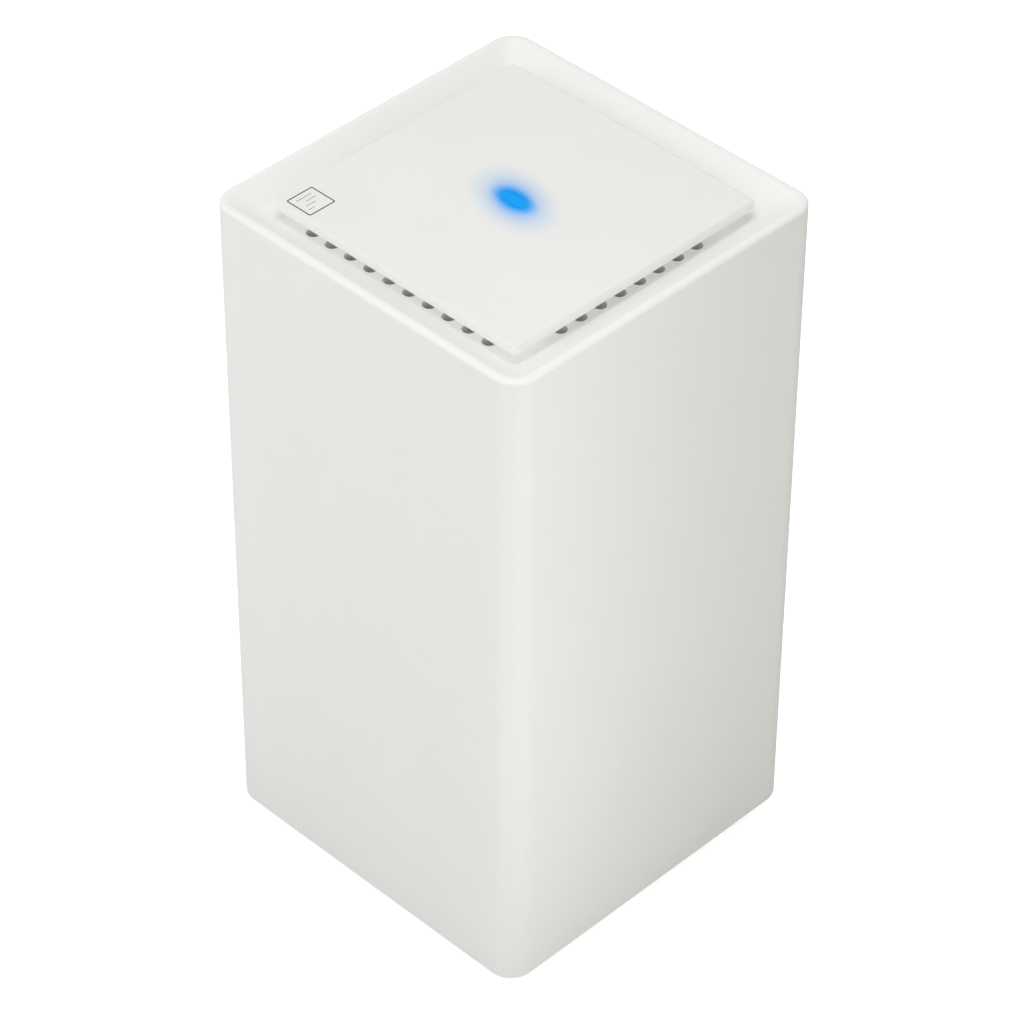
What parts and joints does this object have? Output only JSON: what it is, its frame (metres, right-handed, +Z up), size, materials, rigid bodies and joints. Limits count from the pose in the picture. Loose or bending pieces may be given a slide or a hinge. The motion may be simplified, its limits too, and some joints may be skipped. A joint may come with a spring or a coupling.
{
  "type": "wireless router",
  "caption": "White square tower router with a floating square lid over ringed vent holes, a lit spot in the lid, fan in the base and rear network sockets.",
  "frame": {"origin": "centre of the square footprint, on the plane the feet stand on", "axes": "+Z up, -Y the front face, +Y the rear with the sockets, +X the right side seen from the front"},
  "size_m": [0.11, 0.11, 0.21],
  "materials": {
    "antenna_copper": "bare foil",
    "antenna_substrate": "laminate",
    "base_white": "fine texture",
    "board_green": "solder mask, satin",
    "bronze": "sintered",
    "button_white": "satin",
    "cable_black": "jacket",
    "cable_grey": "jacket",
    "can_dark": "shrink sleeve",
    "chip_black": "moulded epoxy",
    "contact_gold": "gold plated",
    "fan_black": "matte",
    "fan_dark": "satin",
    "feet_rubber": "matte",
    "ferrite": "matte",
    "flex_white": "satin film",
    "foam": "matte foam",
    "frame_grey": "matte",
    "jack_blue": "matte",
    "jack_grey": "matte",
    "label_film": "satin film",
    "lamp_green": "clear lens",
    "led_lens": "clear lens",
    "lid_white": "satin",
    "light_acrylic": "clear and polished",
    "pad_grey": "soft",
    "panel_white": "fine texture",
    "pin_nickel": "nickel plated",
    "plug_ivory": "satin",
    "plunger_white": "satin",
    "print_grey": "screen print",
    "screw_steel": "zinc plated",
    "shaft_steel": "ground",
    "shell_white": "satin",
    "shield_tin": "tinned sheet",
    "sink_aluminium": "extruded",
    "spring_steel": "spring wire",
    "switch_black": "matte",
    "winding_copper": "enamelled wire"
  },
  "bodies": {
    "body": {"outer_shell": "shell_white", "top_lid": "lid_white", "light_guide": "light_acrylic", "light_gasket": "foam", "led_board": "board_green", "led_chips": "led_lens", "led_screws": "screw_steel", "led_flex_cable": "flex_white", "port_panel": "panel_white", "pair_switch": "switch_black", "reset_switch": "switch_black", "base_plate": "base_white", "rubber_feet": "feet_rubber", "base_screws": "screw_steel", "frame_screws": "screw_steel", "rating_label": "label_film", "inner_frame": "frame_grey", "main_board": "board_green", "board_screws": "screw_steel", "processor": "chip_black", "memory_chips": "chip_black", "small_chips": "chip_black", "radio_shields": "shield_tin", "thermal_pads": "pad_grey", "front_heatsink": "sink_aluminium", "back_heatsink": "sink_aluminium", "heatsink_screws": "screw_steel", "heatsink_springs": "spring_steel", "capacitors": "can_dark", "inductors": "ferrite", "line_transformers": "chip_black", "lan_jack": "jack_grey", "lan_jack_shield": "shield_tin", "lan_contacts": "contact_gold", "wan_jack": "jack_blue", "wan_jack_shield": "shield_tin", "wan_contacts": "contact_gold", "jack_lamps": "lamp_green", "power_inlet": "switch_black", "power_inlet_pin": "pin_nickel", "antenna_boards": "antenna_substrate", "antenna_elements": "antenna_copper", "antenna_leads": "cable_grey", "antenna_plugs": "contact_gold", "fan_frame": "fan_black", "fan_bearing": "bronze", "fan_stator": "shield_tin", "fan_windings": "winding_copper", "fan_circuit": "board_green", "fan_screws": "screw_steel", "fan_lead": "cable_black", "fan_plug": "plug_ivory", "board_connectors": "plug_ivory"},
    "rotor": {"fan_rotor": "fan_dark", "fan_shaft": "shaft_steel", "fan_magnet": "ferrite"},
    "pair_button": {"pair_button": "button_white", "pair_plunger": "plunger_white"},
    "reset_plunger": {"reset_plunger": "plunger_white"}
  },
  "joints": [
    {"name": "fan_spin", "type": "hinge", "parent": "body", "child": "rotor", "pos_m": [0, 0, 0.02], "axis": [0, 0, 1], "continuous": true},
    {"name": "pair_press", "type": "slide", "parent": "body", "child": "pair_button", "axis": [0, -1, 0], "range_m": [0, 0.0008], "stiffness_N_per_m": 800, "springref_m": -0.0008},
    {"name": "reset_press", "type": "slide", "parent": "body", "child": "reset_plunger", "axis": [0, -1, 0], "range_m": [0, 0.0005], "stiffness_N_per_m": 800, "springref_m": -0.0005}
  ]
}
